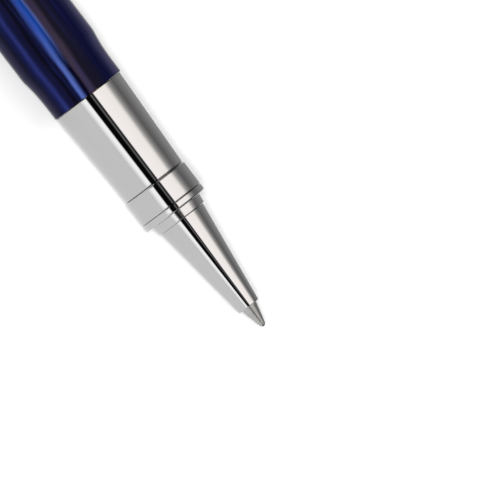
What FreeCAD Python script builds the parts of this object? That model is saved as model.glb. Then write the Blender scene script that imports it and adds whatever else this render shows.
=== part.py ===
import FreeCAD, Part
import math
import os

# Capped rollerball pen, in millimetres. The pen lies along +X: the writing tip is at the origin, on
# the pen's axis, and the tail and the posted cap are at the +X end. +Z is up. Radii are measured from
# the pen's axis, and places on the cap are measured from its mouth, towards its crown.

# writing ball and refill
BALL_R = 0.35
SOCKET_GAP = 0.02
LIP_X = 0.22
LIP_R = 0.43
TIP_HALF_ANGLE = 14.2
TIP_SHANK_R = 1.25
INK_CHANNEL_R = 0.2
FEED_ROD_R = 0.5
FEED_ROD_FRONT = 2.7
HOLDER_FRONT = 9.0
HOLDER_NECK_R = 1.7
HOLDER_STEP = 14.5
HOLDER_BODY_R = 2.3
REFILL_FLANGE = 24.5
REFILL_R = 3.05
REFILL_WALL = 0.45
TUBE_FRONT = 26.0
TUBE_REAR = 108.3
REFILL_REAR = 110.8

# section, from the nose to the joint with the barrel
NOSE_FRONT = 3.55
NOSE_FRONT_R = 1.75
NOSE_BORE_R = 1.32
NOSE_REAR = 19.3
NOSE_REAR_R = 3.825
SPIGOT_R = 3.45
SPIGOT_REAR = 24.1
COLLAR_FRONT_R = 4.05
COLLAR_REAR_R = 4.25
FLANGE_FRONT = 20.75
FLANGE_R = 5.265
BAND_FRONT = 21.83
BAND_R = 5.28
SLEEVE_FRONT = 25.85
SLEEVE_FRONT_R = 5.1
SLEEVE_REAR = 41.4
SLEEVE_REAR_R = 5.75
CORE_R = 4.3
CORE_BORE_R = 3.3
CORE_FLANGE = 39.9
CORE_FLANGE_R = 5.0
CORE_REAR = 50.0
O_RING_X = 42.6
O_RING_MEAN_R = 4.2
O_RING_WIRE_R = 0.4

# section thread, one start, right-handed
PITCH = 1.0
MALE_ROOT_R = 3.85
MALE_CREST_R = 4.3
THREAD_CLEARANCE = 0.1
RIDGE_ROOT_HALF = 0.3
RIDGE_CREST_HALF = 0.08
MALE_START = 44.0
MALE_TURNS = 5.5
FEMALE_TURNS = 6.0

# barrel
BARREL_FRONT = 41.45
NECK_R = 5.85
SHOULDER_X = 48.4
SHOULDER_R = 6.27
FLARE_CORNER = 46.02
FLARE_RADIUS = 27.5
BARREL_R = 6.29
TAPER_START = 88.0
TAPER_BLEND = 150.0
BARREL_REAR = 123.8
BARREL_REAR_R = 5.2
BUSH_R = 5.05
BUSH_REAR = 53.0
LINER_R = 4.35
LINER_BORE_R = 3.9
LINER_REAR = 121.0
INSERT_FRONT = 116.0
SPRING_SEAT = 119.0
TAIL_THREAD_R = 1.5
TAIL_CAP_FRONT = 125.0
TAIL_RING_R = 5.22
TAIL_CAP_R = 5.05
TAIL_END = 129.2
SPRING_MEAN_R = 2.3
SPRING_WIRE_R = 0.25
SPRING_PITCH = 1.15
WIRE_SIDES = 12

# cap, measured from its mouth
CAP_MOUTH = 101.5
CAP_BORE_R = 5.95
CAP_LIP_R = 7.05
LIP_BAND_REAR = 4.2
CAP_SHELL_FRONT_R = 6.95
CAP_SHELL_REAR_R = 6.8
CAP_SHELL_REAR = 47.0
CAP_LINER_R = 6.2
CAP_LINER_FRONT = 1.2
INNER_CAP_FRONT = 24.0
INNER_CAP_BORE_R = 5.32
INNER_CAP_FLOOR = 46.5
PLUG_FRONT = 47.7
HEAD_FRONT = 50.2
HEAD_R = 6.75
CROWN_FRONT = 56.6
CROWN_R = 6.6
CROWN_REAR = 60.5
DISC_R = 3.55
DISC_FRONT = 59.7
SCREW_SHANK_R = 1.0
SCREW_HEAD_R = 1.9
SCREW_SEAT = 49.4

# clip, in the plane that holds the cap's axis: along the cap, and out from its axis
CLIP_DIRECTION = 125.0
CLIP_PIVOT = 52.5
CLIP_PIVOT_OUT = 4.9
CLIP_PIN_R = 0.5
CLIP_ROOT_WIDTH = 2.4
CLIP_TOP_WIDTH = 3.8
CLIP_TIP_WIDTH = 2.6
CLIP_TIP = 16.2
SLOT_WIDTH = 2.6
SLOT_FLOOR = 3.2
CLIP_SPRING_X = 55.1
CLIP_SPRING_FLOOR = 2.4
CLIP_HEEL_OUT = 5.05

# looseness between concentric pieces that are fixed to each other
FIT_GAP = 0.05

X_AXIS = FreeCAD.Vector(1, 0, 0)
Y_AXIS = FreeCAD.Vector(0, 1, 0)
Z_AXIS = FreeCAD.Vector(0, 0, 1)
ORIGIN = FreeCAD.Vector(0, 0, 0)


def outline(corners):
    """Closed face in the XZ plane. A corner is (x, z) or (x, z, radius of its rounding)."""
    points = [FreeCAD.Vector(corner[0], 0, corner[1]) for corner in corners]
    edges = []
    starts = []
    ends = []
    arcs = []
    for i, corner in enumerate(corners):
        here = points[i]
        if len(corner) < 3:
            starts.append(here)
            ends.append(here)
            arcs.append(None)
            continue
        back = (points[i - 1] - here).normalize()
        on = (points[(i + 1) % len(points)] - here).normalize()
        half = back.getAngle(on) / 2
        radius = corner[2]
        first = here + back * (radius / math.tan(half))
        last = here + on * (radius / math.tan(half))
        middle = here + (back + on).normalize() * (radius / math.sin(half) - radius)
        starts.append(first)
        ends.append(last)
        arcs.append(Part.Arc(first, middle, last).toShape())
    for i, arc in enumerate(arcs):
        if arc is not None:
            edges.append(arc)
        following = starts[(i + 1) % len(points)]
        if ends[i].distanceToPoint(following) > 1e-6:
            edges.append(Part.LineSegment(ends[i], following).toShape())
    return Part.Face(Part.Wire(edges))


def turned(corners):
    """Solid turned about the pen's axis. A corner is (x, radius) or (x, radius, rounding)."""
    return outline(corners).revolve(ORIGIN, X_AXIS, 360)


def rod(front, rear, radius):
    """Plain cylinder on the pen's axis."""
    return Part.makeCylinder(radius, rear - front, FreeCAD.Vector(front, 0, 0), X_AXIS)


def ring(front, rear, bore, radius):
    """Plain tube on the pen's axis."""
    return turned([(front, bore), (front, radius), (rear, radius), (rear, bore)])


def along_x(shape):
    """Turns a shape that was built along Z so that it lies along X."""
    turned_shape = shape.copy()
    turned_shape.rotate(ORIGIN, Y_AXIS, 90)
    return turned_shape


def ridge(root_r, crest_r, turns, start):
    """Helical thread ridge on the pen's axis, widest at its root."""
    helix = Part.makeHelix(PITCH, PITCH * turns, (root_r + crest_r) / 2)
    section = Part.makePolygon([
        FreeCAD.Vector(root_r, 0, -RIDGE_ROOT_HALF),
        FreeCAD.Vector(root_r, 0, RIDGE_ROOT_HALF),
        FreeCAD.Vector(crest_r, 0, RIDGE_CREST_HALF),
        FreeCAD.Vector(crest_r, 0, -RIDGE_CREST_HALF),
        FreeCAD.Vector(root_r, 0, -RIDGE_ROOT_HALF),
    ])
    swept = along_x(Part.Wire(helix.Edges).makePipeShell([section], True, True))
    swept.translate(X_AXIS * start)
    return swept


def coil(mean_r, wire_r, pitch, length):
    """Compression spring from Z = 0 to Z = length, of many-sided wire with a round wire's area."""
    side_angle = 2 * math.pi / WIRE_SIDES
    corner_r = wire_r * math.sqrt(side_angle / math.sin(side_angle))
    helix = Part.makeHelix(pitch, length - 2 * corner_r, mean_r)
    wire = Part.makePolygon([
        FreeCAD.Vector(mean_r + corner_r * math.cos(k * side_angle), 0, corner_r * math.sin(k * side_angle))
        for k in range(WIRE_SIDES + 1)
    ])
    spring = Part.Wire(helix.Edges).makePipeShell([wire], True, True)
    spring.translate(Z_AXIS * corner_r)
    return spring


def on_cap(shape):
    """Puts a piece that was built from the cap's mouth, with the clip up, in its place on the pen."""
    placed = shape.copy()
    placed.rotate(ORIGIN, X_AXIS, CLIP_DIRECTION)
    placed.translate(X_AXIS * CAP_MOUTH)
    return placed


# refill

def ball():
    return Part.makeSphere(BALL_R, FreeCAD.Vector(BALL_R, 0, 0))


def refill_tip():
    cone_rear = LIP_X + (TIP_SHANK_R - LIP_R) / math.tan(math.radians(TIP_HALF_ANGLE))
    spigot_r = HOLDER_NECK_R - 0.8
    spigot_rear = HOLDER_FRONT + 3
    body = turned([
        (LIP_X, 0), (LIP_X, LIP_R, 0.04), (cone_rear, TIP_SHANK_R, 0.6), (HOLDER_FRONT, TIP_SHANK_R),
        (HOLDER_FRONT, spigot_r), (spigot_rear, spigot_r), (spigot_rear, 0),
    ])
    socket = Part.makeSphere(BALL_R + SOCKET_GAP, FreeCAD.Vector(BALL_R, 0, 0))
    channel = rod(BALL_R, FEED_ROD_FRONT, INK_CHANNEL_R)
    feed_bore = rod(FEED_ROD_FRONT, spigot_rear, FEED_ROD_R + FIT_GAP)
    return body.cut(socket).cut(channel).cut(feed_bore)


def refill_holder():
    tip_bore_r = HOLDER_NECK_R - 0.8 + FIT_GAP
    tip_bore_rear = HOLDER_FRONT + 3
    feed_bore_r = FEED_ROD_R + FIT_GAP
    spigot_r = REFILL_R - REFILL_WALL - FIT_GAP
    spigot_rear = TUBE_FRONT + 4
    return turned([
        (HOLDER_FRONT, tip_bore_r), (HOLDER_FRONT, HOLDER_NECK_R, 0.15),
        (HOLDER_STEP, HOLDER_NECK_R), (HOLDER_STEP, HOLDER_BODY_R, 0.3),
        (REFILL_FLANGE, HOLDER_BODY_R), (REFILL_FLANGE, REFILL_R, 0.2),
        (TUBE_FRONT, REFILL_R), (TUBE_FRONT, spigot_r), (spigot_rear, spigot_r, 0.2),
        (spigot_rear, feed_bore_r), (tip_bore_rear, feed_bore_r), (tip_bore_rear, tip_bore_r),
    ])


def feed_rod():
    return rod(FEED_ROD_FRONT, TUBE_FRONT + 6, FEED_ROD_R)


def refill_tube():
    return ring(TUBE_FRONT, TUBE_REAR, REFILL_R - REFILL_WALL, REFILL_R)


def ink_core():
    core_r = REFILL_R - REFILL_WALL - FIT_GAP
    front = TUBE_FRONT + 4
    rear = TUBE_REAR - 3.3
    return rod(front, rear, core_r).cut(rod(front, TUBE_FRONT + 6, FEED_ROD_R + FIT_GAP))


def refill_end_plug():
    spigot_r = REFILL_R - REFILL_WALL - FIT_GAP
    spigot_front = TUBE_REAR - 3.3
    return turned([
        (spigot_front, 1.6), (spigot_front, spigot_r, 0.2), (TUBE_REAR, spigot_r),
        (TUBE_REAR, REFILL_R), (REFILL_REAR, REFILL_R, 0.5), (REFILL_REAR, 0),
        (TUBE_REAR, 0), (TUBE_REAR, 1.6),
    ])


# section

def nose_cone():
    neck_bore_r = HOLDER_NECK_R + 0.2
    body_bore_r = HOLDER_BODY_R + 0.2
    stop = HOLDER_FRONT - 0.02
    step = HOLDER_STEP - 0.2
    return turned([
        (NOSE_FRONT, NOSE_BORE_R, 0.06), (NOSE_FRONT, NOSE_FRONT_R, 0.14),
        (NOSE_REAR, NOSE_REAR_R), (NOSE_REAR, SPIGOT_R), (SPIGOT_REAR, SPIGOT_R, 0.15),
        (SPIGOT_REAR, body_bore_r), (step, body_bore_r), (step, neck_bore_r),
        (stop, neck_bore_r), (stop, NOSE_BORE_R),
    ])


def nose_collar():
    bore = SPIGOT_R + FIT_GAP
    return turned([
        (NOSE_REAR, bore), (NOSE_REAR, COLLAR_FRONT_R, 0.1), (FLANGE_FRONT, COLLAR_REAR_R, 0.06),
        (FLANGE_FRONT, bore),
    ])


def flange_ring():
    bore = SPIGOT_R + FIT_GAP
    return turned([
        (FLANGE_FRONT, bore), (FLANGE_FRONT, FLANGE_R, 0.22), (BAND_FRONT, FLANGE_R, 0.16),
        (BAND_FRONT, bore),
    ])


def grip_band():
    bore = CORE_R + FIT_GAP
    return turned([
        (BAND_FRONT, bore), (BAND_FRONT, BAND_R, 0.16), (SLEEVE_FRONT, BAND_R, 0.38),
        (SLEEVE_FRONT, bore),
    ])


def grip_sleeve():
    bore = CORE_R + FIT_GAP
    rear_bore = CORE_FLANGE_R + FIT_GAP
    return turned([
        (SLEEVE_FRONT, bore), (SLEEVE_FRONT, SLEEVE_FRONT_R, 0.12), (SLEEVE_REAR, SLEEVE_REAR_R, 0.1),
        (SLEEVE_REAR, rear_bore), (CORE_FLANGE, rear_bore), (CORE_FLANGE, bore),
    ])


def grip_core():
    groove_r = O_RING_MEAN_R - O_RING_WIRE_R - 0.05
    groove_half = O_RING_WIRE_R + 0.05
    counterbore_r = SPIGOT_R + FIT_GAP
    counterbore_rear = SPIGOT_REAR + 0.2
    flange_rear = SLEEVE_REAR - 0.03
    blank = turned([
        (BAND_FRONT, counterbore_r), (BAND_FRONT, CORE_R, 0.1), (CORE_FLANGE, CORE_R),
        (CORE_FLANGE, CORE_FLANGE_R), (flange_rear, CORE_FLANGE_R), (flange_rear, MALE_ROOT_R),
        (O_RING_X - groove_half, MALE_ROOT_R), (O_RING_X - groove_half, groove_r),
        (O_RING_X + groove_half, groove_r), (O_RING_X + groove_half, MALE_ROOT_R),
        (CORE_REAR, MALE_ROOT_R, 0.2), (CORE_REAR, CORE_BORE_R), (counterbore_rear, CORE_BORE_R),
        (counterbore_rear, counterbore_r),
    ])
    thread = ridge(MALE_ROOT_R - 0.1, MALE_CREST_R, MALE_TURNS, MALE_START)
    return blank.fuse(thread).Solids[0]


def section_o_ring():
    return Part.makeTorus(O_RING_MEAN_R, O_RING_WIRE_R, FreeCAD.Vector(O_RING_X, 0, 0), X_AXIS)


# barrel

def barrel_shell():
    bush_bore = BUSH_R + FIT_GAP
    liner_bore = LINER_R + FIT_GAP
    return turned([
        (BARREL_FRONT, bush_bore), (BARREL_FRONT, NECK_R - 0.02, 0.1),
        (FLARE_CORNER, NECK_R, FLARE_RADIUS), (SHOULDER_X, SHOULDER_R), (SHOULDER_X + 0.2, BARREL_R),
        (TAPER_START, BARREL_R, TAPER_BLEND), (BARREL_REAR, BARREL_REAR_R, 0.12),
        (BARREL_REAR, liner_bore), (BUSH_REAR, liner_bore), (BUSH_REAR, bush_bore),
    ])


def barrel_bush():
    root_r = MALE_CREST_R + THREAD_CLEARANCE
    crest_r = MALE_ROOT_R + THREAD_CLEARANCE
    mouth_r = O_RING_MEAN_R + O_RING_WIRE_R + 0.1
    mouth_rear = O_RING_X + O_RING_WIRE_R + 0.15
    blank = turned([
        (BARREL_FRONT, mouth_r), (BARREL_FRONT, BUSH_R, 0.1), (BUSH_REAR, BUSH_R),
        (BUSH_REAR, root_r), (mouth_rear, root_r), (mouth_rear, mouth_r),
    ])
    thread = ridge(root_r + 0.1, crest_r, FEMALE_TURNS, MALE_START - PITCH / 2)
    return blank.fuse(thread).Solids[0]


def barrel_liner():
    return ring(BUSH_REAR, LINER_REAR, LINER_BORE_R, LINER_R)


def refill_spring():
    front = REFILL_REAR + 0.03
    spring = along_x(coil(SPRING_MEAN_R, SPRING_WIRE_R, SPRING_PITCH, SPRING_SEAT - front))
    spring.translate(X_AXIS * front)
    return spring


def tail_insert():
    plug_r = LINER_BORE_R - FIT_GAP
    pocket_r = SPRING_MEAN_R + SPRING_WIRE_R + 0.4
    return turned([
        (INSERT_FRONT, pocket_r), (INSERT_FRONT, plug_r, 0.2), (LINER_REAR, plug_r),
        (LINER_REAR, LINER_R), (BARREL_REAR, LINER_R), (BARREL_REAR, TAIL_THREAD_R),
        (SPRING_SEAT + 1, TAIL_THREAD_R), (SPRING_SEAT + 1, 0), (SPRING_SEAT, 0),
        (SPRING_SEAT, pocket_r),
    ])


def tail_ring():
    return turned([
        (BARREL_REAR, TAIL_THREAD_R + FIT_GAP), (BARREL_REAR, TAIL_RING_R, 0.15),
        (TAIL_CAP_FRONT, TAIL_RING_R, 0.15), (TAIL_CAP_FRONT, TAIL_THREAD_R + FIT_GAP),
    ])


def tail_cap():
    stud_r = TAIL_THREAD_R - FIT_GAP
    return turned([
        (SPRING_SEAT + 1.2, 0), (SPRING_SEAT + 1.2, stud_r, 0.2), (TAIL_CAP_FRONT, stud_r),
        (TAIL_CAP_FRONT, TAIL_CAP_R, 0.15), (TAIL_END - 0.4, TAIL_CAP_R - 0.3, 1.7), (TAIL_END, 0),
    ])


# cap

def cap_lip_band():
    liner_bore = CAP_LINER_R + FIT_GAP
    groove_front = 3.0
    groove_rear = 3.35
    return turned([
        (0, CAP_BORE_R, 0.12), (0, CAP_LIP_R, 0.35), (groove_front, CAP_LIP_R, 0.15),
        (groove_front, CAP_LIP_R - 0.25), (groove_rear, CAP_LIP_R - 0.25),
        (groove_rear, CAP_LIP_R - 0.03, 0.12), (LIP_BAND_REAR, CAP_LIP_R - 0.03, 0.12),
        (LIP_BAND_REAR, liner_bore), (CAP_LINER_FRONT, liner_bore), (CAP_LINER_FRONT, CAP_BORE_R),
    ])


def cap_shell():
    bore = CAP_LINER_R + FIT_GAP
    return turned([
        (LIP_BAND_REAR, bore), (LIP_BAND_REAR, CAP_SHELL_FRONT_R, 0.1),
        (CAP_SHELL_REAR, CAP_SHELL_REAR_R, 0.1), (CAP_SHELL_REAR, bore),
    ])


def cap_liner():
    return ring(CAP_LINER_FRONT, HEAD_FRONT, CAP_BORE_R, CAP_LINER_R)


def inner_cap():
    outer_r = CAP_BORE_R - FIT_GAP
    return turned([
        (INNER_CAP_FRONT, INNER_CAP_BORE_R, 0.2), (INNER_CAP_FRONT, outer_r, 0.15),
        (PLUG_FRONT, outer_r), (PLUG_FRONT, 0), (INNER_CAP_FLOOR, 0),
        (INNER_CAP_FLOOR, INNER_CAP_BORE_R, 0.6),
    ])


def cap_top_ring():
    bore = CAP_LINER_R + FIT_GAP
    groove = (CAP_SHELL_REAR + HEAD_FRONT) / 2
    return turned([
        (CAP_SHELL_REAR, bore), (CAP_SHELL_REAR, CAP_LIP_R, 0.25),
        (groove - 0.15, CAP_LIP_R, 0.15), (groove - 0.15, CAP_LIP_R - 0.2),
        (groove + 0.15, CAP_LIP_R - 0.2), (groove + 0.15, CAP_LIP_R, 0.15),
        (HEAD_FRONT, CAP_LIP_R, 0.25), (HEAD_FRONT, bore),
    ])


def cap_plug():
    blank = turned([
        (PLUG_FRONT, 0), (PLUG_FRONT, CAP_BORE_R - FIT_GAP), (HEAD_FRONT, CAP_BORE_R - FIT_GAP),
        (HEAD_FRONT, HEAD_R, 0.1), (CROWN_FRONT, HEAD_R, 0.1), (CROWN_FRONT, 0),
    ])
    head_hole = rod(PLUG_FRONT, SCREW_SEAT, SCREW_HEAD_R + FIT_GAP)
    shank_hole = rod(PLUG_FRONT, CROWN_FRONT, SCREW_SHANK_R + FIT_GAP)
    slot = Part.makeBox(
        CROWN_FRONT - HEAD_FRONT, SLOT_WIDTH, HEAD_R,
        FreeCAD.Vector(HEAD_FRONT, -SLOT_WIDTH / 2, SLOT_FLOOR))
    pocket = Part.makeCylinder(1.0, HEAD_R, FreeCAD.Vector(CLIP_SPRING_X, 0, CLIP_SPRING_FLOOR))
    pin_hole = clip_pin_rod(CLIP_PIN_R + 0.01, HEAD_R)
    return blank.cut(head_hole).cut(shank_hole).cut(slot).cut(pocket).cut(pin_hole)


def cap_screw():
    head_front = PLUG_FRONT + 0.3
    socket_r = 0.75
    body = turned([
        (head_front, 0), (head_front, SCREW_HEAD_R, 0.2), (SCREW_SEAT, SCREW_HEAD_R),
        (SCREW_SEAT, SCREW_SHANK_R), (DISC_FRONT - 1.0, SCREW_SHANK_R, 0.2), (DISC_FRONT - 1.0, 0),
    ])
    hexagon = [
        FreeCAD.Vector(head_front, socket_r * math.cos(k * math.pi / 3), socket_r * math.sin(k * math.pi / 3))
        for k in range(7)
    ]
    socket = Part.Face(Part.makePolygon(hexagon)).extrude(X_AXIS * 0.8)
    return body.cut(socket)


def cap_crown():
    recess_r = DISC_R + FIT_GAP
    thread_r = SCREW_SHANK_R + FIT_GAP
    thread_rear = DISC_FRONT - 0.9
    return turned([
        (CROWN_FRONT, thread_r), (CROWN_FRONT, CROWN_R, 0.3), (CROWN_REAR - 0.7, CROWN_R - 0.6, 2.0),
        (CROWN_REAR, recess_r + 0.3, 0.1), (CROWN_REAR, recess_r), (DISC_FRONT, recess_r),
        (DISC_FRONT, 0), (thread_rear, 0), (thread_rear, thread_r),
    ])


def crown_disc():
    return turned([
        (DISC_FRONT, 0), (DISC_FRONT, DISC_R), (CROWN_REAR, DISC_R, 0.25), (CROWN_REAR + 0.25, 0),
    ])


# clip

def clip_pin_rod(radius, half_length):
    """Cylinder across the cap, through the clip's pivot."""
    start = FreeCAD.Vector(CLIP_PIVOT, -half_length, CLIP_PIVOT_OUT)
    return Part.makeCylinder(radius, 2 * half_length, start, Y_AXIS)


def clip_pin():
    return clip_pin_rod(CLIP_PIN_R, 4.3)


def clip_spring():
    floor = CLIP_SPRING_FLOOR + 0.02
    spring = coil(0.65, 0.14, 0.5, CLIP_HEEL_OUT - 0.03 - floor)
    spring.translate(FreeCAD.Vector(CLIP_SPRING_X, 0, floor))
    return spring


def clip():
    side = outline([
        (56.2, 6.9, 0.3), (54.8, 8.3, 1.4), (50.0, 9.45, 6), (24.0, 9.75, 10), (19.2, 9.8, 2),
        (CLIP_TIP + 0.4, 10.4, 0.25), (CLIP_TIP, 9.7, 0.25), (18.4, 7.95, 0.8), (20.4, 7.0, 0.8),
        (23.2, 8.55, 1.5), (46.6, 8.3, 3), (49.4, 7.3, 0.5), (50.9, 7.2), (50.9, 4.0, 0.8),
        (54.0, 4.0, 0.8), (54.0, CLIP_HEEL_OUT), (56.2, CLIP_HEEL_OUT, 0.3),
    ])
    half_tip = CLIP_TIP_WIDTH / 2
    half_top = CLIP_TOP_WIDTH / 2
    half_root = CLIP_ROOT_WIDTH / 2
    plan = Part.Face(Part.makePolygon([
        FreeCAD.Vector(CLIP_TIP - 1, -half_tip, 0), FreeCAD.Vector(57, -half_top, 0),
        FreeCAD.Vector(57, half_top, 0), FreeCAD.Vector(CLIP_TIP - 1, half_tip, 0),
        FreeCAD.Vector(CLIP_TIP - 1, -half_tip, 0),
    ])).extrude(Z_AXIS * 12)
    blank = side.copy()
    blank.translate(Y_AXIS * -half_top)
    blank = blank.extrude(Y_AXIS * CLIP_TOP_WIDTH)
    beside_root = [
        Part.makeBox(10, half_top, 7.25, FreeCAD.Vector(49.9, place, 0))
        for place in (-half_top - half_root, half_root)
    ]
    body = blank.common(plan)
    for waste in beside_root:
        body = body.cut(waste)
    return body.cut(clip_pin_rod(CLIP_PIN_R + 0.03, half_top))


PEN_PIECES = [
    ball, refill_tip, refill_holder, feed_rod, refill_tube, ink_core, refill_end_plug,
    nose_cone, nose_collar, flange_ring, grip_band, grip_sleeve, grip_core, section_o_ring,
    barrel_shell, barrel_liner, barrel_bush, refill_spring, tail_insert, tail_ring, tail_cap,
]
CAP_PIECES = [
    cap_lip_band, cap_shell, cap_liner, inner_cap, cap_top_ring, cap_plug, cap_screw, cap_crown,
    crown_disc, clip, clip_pin, clip_spring,
]


def main():
    os.makedirs("parts", exist_ok=True)
    pieces = {piece.__name__: piece() for piece in PEN_PIECES}
    pieces.update({piece.__name__: on_cap(piece()) for piece in CAP_PIECES})
    for name, shape in pieces.items():
        if not shape.isValid() or len(shape.Solids) != 1:
            raise ValueError(name + " is not one valid solid")
        shape.exportStep("parts/" + name + ".step")
        print(name, round(shape.Volume, 2))


main()
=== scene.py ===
import bpy
import math
from mathutils import Matrix, Vector


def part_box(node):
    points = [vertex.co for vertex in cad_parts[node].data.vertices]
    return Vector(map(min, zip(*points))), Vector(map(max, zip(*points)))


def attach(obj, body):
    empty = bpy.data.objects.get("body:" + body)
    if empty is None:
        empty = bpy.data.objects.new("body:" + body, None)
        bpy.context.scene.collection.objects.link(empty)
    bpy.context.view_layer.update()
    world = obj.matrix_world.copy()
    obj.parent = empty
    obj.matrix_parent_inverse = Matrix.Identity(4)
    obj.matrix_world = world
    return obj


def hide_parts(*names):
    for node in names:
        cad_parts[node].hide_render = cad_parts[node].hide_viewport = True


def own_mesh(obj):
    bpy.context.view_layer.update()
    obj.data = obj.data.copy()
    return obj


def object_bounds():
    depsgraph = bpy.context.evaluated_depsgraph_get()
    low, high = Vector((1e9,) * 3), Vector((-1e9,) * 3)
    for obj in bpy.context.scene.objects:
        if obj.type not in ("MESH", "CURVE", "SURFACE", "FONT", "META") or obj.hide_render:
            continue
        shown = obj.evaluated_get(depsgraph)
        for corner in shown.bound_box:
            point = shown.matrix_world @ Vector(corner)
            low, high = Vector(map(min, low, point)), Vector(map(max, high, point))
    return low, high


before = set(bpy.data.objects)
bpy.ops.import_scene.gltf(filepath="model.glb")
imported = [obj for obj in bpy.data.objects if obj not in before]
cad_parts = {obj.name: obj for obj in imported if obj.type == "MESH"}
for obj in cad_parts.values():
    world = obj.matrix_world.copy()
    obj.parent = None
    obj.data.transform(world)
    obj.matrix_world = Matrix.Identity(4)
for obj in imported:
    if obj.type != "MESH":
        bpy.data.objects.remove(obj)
cadLow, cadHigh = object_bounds()
print("frame loaded:", len(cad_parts), "nodes")

mm = 0.001
turnSteps = 160  # facets round a turned piece
arcError = 0.0012 * mm  # how far a rounded corner's facets may lie from its arc
outlineJoin = 1e-7  # m, how close the two ends of an outline are when they are joined
axisJoin = 1e-6  # m, how close to the axis a spun point joins the pole
creaseAngle = 28  # degrees, edges that turn more than this stay crisp
midNoise = (0.3, 0.7)  # nearly all of a noise pattern's values lie between these
hazeNoise = (0.35, 0.7)  # the same, with more of it left clear
patternShift = (3.1, 7.7, 5.3)  # moves a pattern off the origin, where noise repeats


def extent(node):
    # front, rear and outer radius of a turned CAD node, in millimetres
    low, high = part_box(node)
    return low.x / mm, high.x / mm, max(high.z, -low.z) / mm


def linear(hexText):
    # sRGB hex to linear RGBA
    parts = [int(hexText[i:i + 2], 16) / 255 for i in (1, 3, 5)]
    parts = [c / 12.92 if c <= 0.04045 else ((c + 0.055) / 1.055) ** 2.4 for c in parts]
    return (*parts, 1)


def deselectAll():
    if bpy.context.mode != "OBJECT":
        bpy.ops.object.mode_set(mode="OBJECT")
    bpy.ops.object.select_all(action="DESELECT")


def roundCorners(corners):
    # corners are (x, r) or (x, r, rounding) in millimetres; a rounded one becomes a short arc, in metres
    outline = []
    for i, corner in enumerate(corners):
        here = Vector(corner[:2]) * mm
        if len(corner) < 3:
            outline.append(here)
            continue
        radius = corner[2] * mm
        back = (Vector(corners[i - 1][:2]) * mm - here).normalized()
        on = (Vector(corners[(i + 1) % len(corners)][:2]) * mm - here).normalized()
        half = back.angle(on) / 2
        centre = here + (back + on).normalized() * (radius / math.sin(half))
        start = here + back * (radius / math.tan(half)) - centre
        sweep = math.pi - 2 * half
        turn = 1 if back.x * on.y - back.y * on.x < 0 else -1
        steps = max(3, math.ceil(sweep / (2 * math.acos(1 - arcError / radius))))
        for k in range(steps + 1):
            a = turn * sweep * k / steps
            outline.append(centre + Vector((
                start.x * math.cos(a) - start.y * math.sin(a),
                start.x * math.sin(a) + start.y * math.cos(a))))
    return outline


def drawOutline(name, points):
    # one vertex extruded from point to point, until the outline is closed
    deselectAll()
    bpy.ops.mesh.primitive_plane_add(size=mm)
    piece = bpy.context.object
    piece.name = name
    piece.data.name = name
    bpy.ops.object.mode_set(mode="EDIT")
    bpy.ops.mesh.merge(type="CENTER")
    bpy.ops.transform.translate(value=points[0])
    for here, following in zip(points, points[1:] + points[:1]):
        bpy.ops.mesh.extrude_vertices_move(TRANSFORM_OT_translate={"value": following - here})
    bpy.ops.mesh.select_all(action="SELECT")
    bpy.ops.mesh.remove_doubles(threshold=outlineJoin)
    bpy.ops.mesh.select_all(action="SELECT")
    return piece


def applyModifier(piece, kind, **settings):
    deselectAll()
    piece.select_set(True)
    bpy.context.view_layer.objects.active = piece
    modifier = piece.modifiers.new(kind.lower(), kind)
    for key, value in settings.items():
        setattr(modifier, key, value)
    bpy.ops.object.modifier_apply(modifier=modifier.name)


def finishShading(piece):
    # smooth faces between crisp edges
    deselectAll()
    piece.select_set(True)
    bpy.context.view_layer.objects.active = piece
    bpy.ops.object.shade_smooth_by_angle(angle=math.radians(creaseAngle))
    applyModifier(piece, "WEIGHTED_NORMAL", keep_sharp=True)


def turnPiece(name, corners):
    # the outline spun about the pen's axis, as on a lathe
    piece = drawOutline(name, [Vector((p.x, 0, p.y)) for p in roundCorners(corners)])
    bpy.ops.mesh.spin(steps=turnSteps, angle=2 * math.pi, center=(0, 0, 0), axis=(1, 0, 0))
    bpy.ops.mesh.select_all(action="SELECT")
    bpy.ops.mesh.remove_doubles(threshold=axisJoin)
    # an outline that meets the axis leaves a loose edge there
    bpy.ops.mesh.delete_loose(use_verts=False, use_edges=True, use_faces=False)
    bpy.ops.mesh.select_all(action="SELECT")
    bpy.ops.mesh.normals_make_consistent(inside=False)
    bpy.ops.object.mode_set(mode="OBJECT")
    finishShading(piece)
    return piece


def settle(piece, turn, location):
    # turns and moves a piece, and puts that into its mesh
    piece.rotation_euler = turn
    piece.location = location
    deselectAll()
    piece.select_set(True)
    bpy.context.view_layer.objects.active = piece
    bpy.ops.object.transform_apply(location=True, rotation=True, scale=True)


def place(piece, node, body, material):
    # gives a piece its material, and its body in place of its CAD node
    piece.data.materials.clear()
    piece.data.materials.append(material)
    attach(piece, body)
    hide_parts(node)
    print("made", piece.name)


def addNode(tree, kind, settings=None, links=None):
    # settings: an attribute, an input, several inputs or a ramp's stops, to what they are set to
    # links: an input to the node or the socket that feeds it
    node = tree.nodes.new(kind)
    for key, value in (settings or {}).items():
        if key == "stops":
            elements = node.color_ramp.elements
            elements.remove(elements[0])
            elements[0].position, elements[0].color = value[0]
            for position, colour in value[1:]:
                elements.new(position).color = colour
        elif isinstance(key, tuple):
            for number, part in zip(key, value):
                node.inputs[number].default_value = part
        elif isinstance(key, int) or key in node.inputs:
            node.inputs[key].default_value = value
        else:
            setattr(node, key, value)
    for key, source in (links or {}).items():
        socket = source.outputs[0] if isinstance(source, bpy.types.Node) else source
        tree.links.new(socket, node.inputs[key])
    return node


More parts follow.
